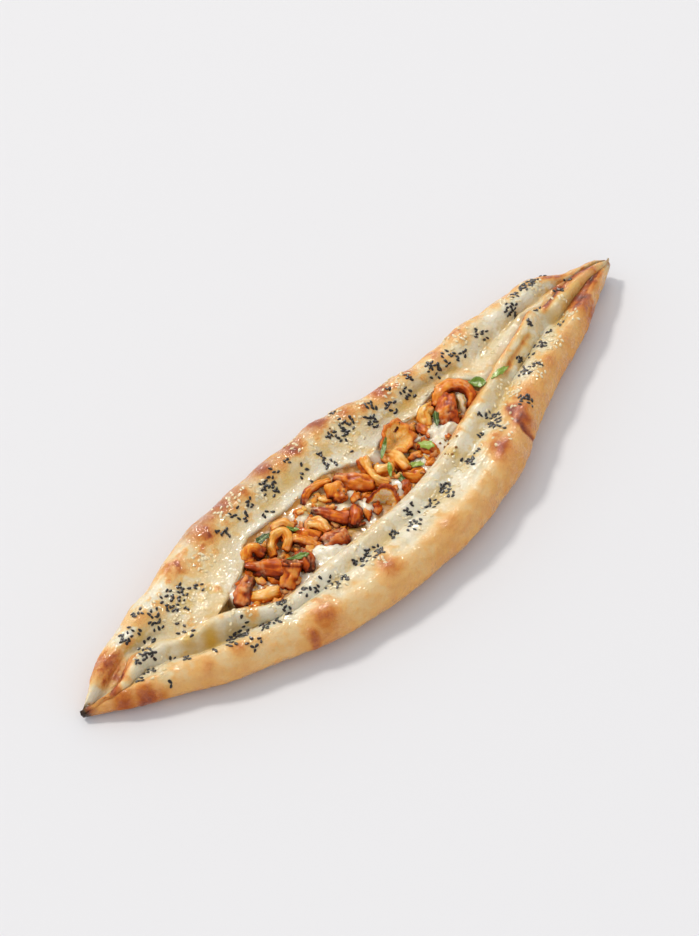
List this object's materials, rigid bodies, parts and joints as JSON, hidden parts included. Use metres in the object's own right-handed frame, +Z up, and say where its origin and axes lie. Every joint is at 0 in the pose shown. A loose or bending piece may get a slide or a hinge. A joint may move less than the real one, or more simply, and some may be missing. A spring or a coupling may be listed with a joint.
{
  "type": "turkish pide",
  "caption": "Boat-shaped flatbread folded over melted cheese and chanterelle mushrooms, with pointed ends, torn parsley and scattered sesame.",
  "frame": {"origin": "under the middle of the boat, on the surface that its flat baked base rests on", "axes": "+X along the boat, from the dark near tip to the far tip; +Y across it, to the left; +Z up"},
  "size_m": [0.45, 0.1235, 0.0298],
  "materials": {
    "crust": "baked wheat dough, egg-washed, golden with brown blisters, satin",
    "cheese": "melted white cheese, off-white, oily gloss",
    "mushroom": "fried chanterelle, orange-brown, glossy with oil",
    "parsley": "fresh parsley leaf, mid green, satin"
  },
  "bodies": {
    "root": {"dough_boat": "crust", "melted_cheese": "cheese", "chanterelle_01": "mushroom", "chanterelle_02": "mushroom", "chanterelle_03": "mushroom", "chanterelle_04": "mushroom", "chanterelle_05": "mushroom", "chanterelle_06": "mushroom", "chanterelle_07": "mushroom", "chanterelle_08": "mushroom", "chanterelle_09": "mushroom", "chanterelle_10": "mushroom", "chanterelle_11": "mushroom", "chanterelle_12": "mushroom", "chanterelle_13": "mushroom", "chanterelle_14": "mushroom", "chanterelle_15": "mushroom", "chanterelle_16": "mushroom", "chanterelle_17": "mushroom", "chanterelle_18": "mushroom", "chanterelle_19": "mushroom", "chanterelle_20": "mushroom", "chanterelle_21": "mushroom", "chanterelle_22": "mushroom", "chanterelle_23": "mushroom", "chanterelle_24": "mushroom", "chanterelle_25": "mushroom", "chanterelle_26": "mushroom", "chanterelle_27": "mushroom", "chanterelle_28": "mushroom", "chanterelle_29": "mushroom", "parsley_leaf_01": "parsley", "parsley_leaf_02": "parsley", "parsley_leaf_03": "parsley", "parsley_leaf_04": "parsley", "parsley_leaf_05": "parsley", "parsley_leaf_06": "parsley", "parsley_leaf_07": "parsley", "parsley_leaf_08": "parsley", "parsley_leaf_09": "parsley", "parsley_leaf_10": "parsley", "parsley_leaf_11": "parsley"}
  },
  "joints": []
}
